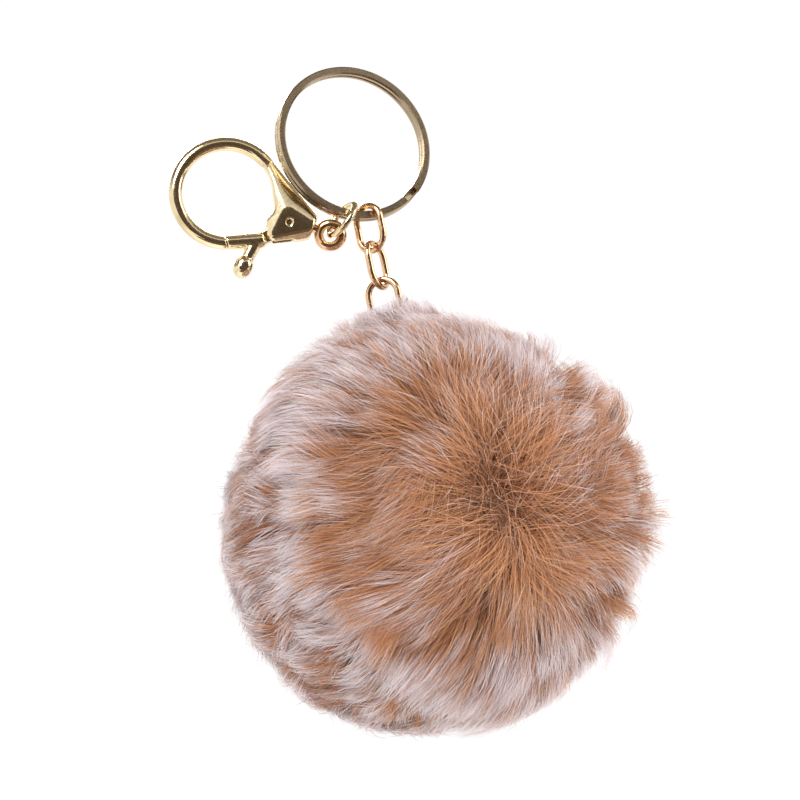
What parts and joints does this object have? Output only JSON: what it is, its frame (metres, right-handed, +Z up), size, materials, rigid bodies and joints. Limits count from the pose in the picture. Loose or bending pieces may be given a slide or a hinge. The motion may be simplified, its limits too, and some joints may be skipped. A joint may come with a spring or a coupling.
{
  "type": "plush keychain",
  "caption": "Fluffy faux-fur ball keychain: the ball hangs on a short oval-link chain from a flat split key ring with a swivel lobster clasp.",
  "frame": {"origin": "centre of the flat split key ring, which holds the part up", "axes": "+Z up, the chain and the ball hanging below the key ring; -Y is the front and the key ring's axis is Y; the clasp lies to -X"},
  "size_m": [0.077, 0.077, 0.1335],
  "materials": {
    "bronze_gold": "polished",
    "pale_gold": "polished",
    "rose_gold": "polished",
    "steel": "satin",
    "cord": "matte",
    "backing": "matte",
    "stuffing": "matte",
    "fur": "matte"
  },
  "bodies": {
    "ring": {"key_ring": "bronze_gold"},
    "link_1": {"chain_link_1": "rose_gold"},
    "link_2": {"chain_link_2": "rose_gold"},
    "link_3": {"chain_link_3": "rose_gold"},
    "ball": {"hanging_loop": "cord", "gather_thread": "cord", "fur_backing": "backing", "stuffing": "stuffing", "fur_pile": "fur"},
    "jump": {"jump_ring": "pale_gold"},
    "swivel": {"swivel_eye": "pale_gold"},
    "clasp": {"clasp_body": "pale_gold", "gate_pin": "steel"},
    "gate": {"clasp_gate": "pale_gold", "gate_spring": "steel"}
  },
  "joints": [
    {"name": "link_1_slide", "type": "hinge", "parent": "ring", "child": "link_1", "pos_m": [0, 0, 0], "axis": [0, 1, 0], "range_deg": [-50, 2]},
    {"name": "link_2_swing", "type": "hinge", "parent": "link_1", "child": "link_2", "pos_m": [0, 0, -0.0223], "axis": [0.4695, -0.8829, 0], "range_deg": [-25, 25]},
    {"name": "link_3_swing", "type": "hinge", "parent": "link_2", "child": "link_3", "pos_m": [0, 0, -0.02995], "axis": [0.788, 0.6157, 0], "range_deg": [-25, 25]},
    {"name": "ball_swing", "type": "hinge", "parent": "link_3", "child": "ball", "pos_m": [0, 0, -0.0376], "axis": [0.766, -0.6428, 0], "range_deg": [-20, 20]},
    {"name": "jump_ring_slide", "type": "hinge", "parent": "ring", "child": "jump", "pos_m": [0, 0, 0], "axis": [0, 1, 0], "range_deg": [0, 60]},
    {"name": "clasp_swing", "type": "hinge", "parent": "jump", "child": "swivel", "pos_m": [-0.00759, 0.00224, -0.01784], "axis": [0.1405, 0.8769, 0.4596], "range_deg": [-120, 1]},
    {"name": "clasp_swivel", "type": "hinge", "parent": "swivel", "child": "clasp", "pos_m": [-0.00759, 0.00224, -0.01784], "axis": [-0.8192, 0.2195, 0.5299], "range_deg": [0, 130]},
    {"name": "gate_open", "type": "hinge", "parent": "clasp", "child": "gate", "pos_m": [-0.01498, 0.00432, -0.01445], "axis": [0.3018, 0.9506, 0.0727], "range_deg": [0, 11], "stiffness_Nm_per_rad": 0.005, "springref_deg": -11.46}
  ]
}
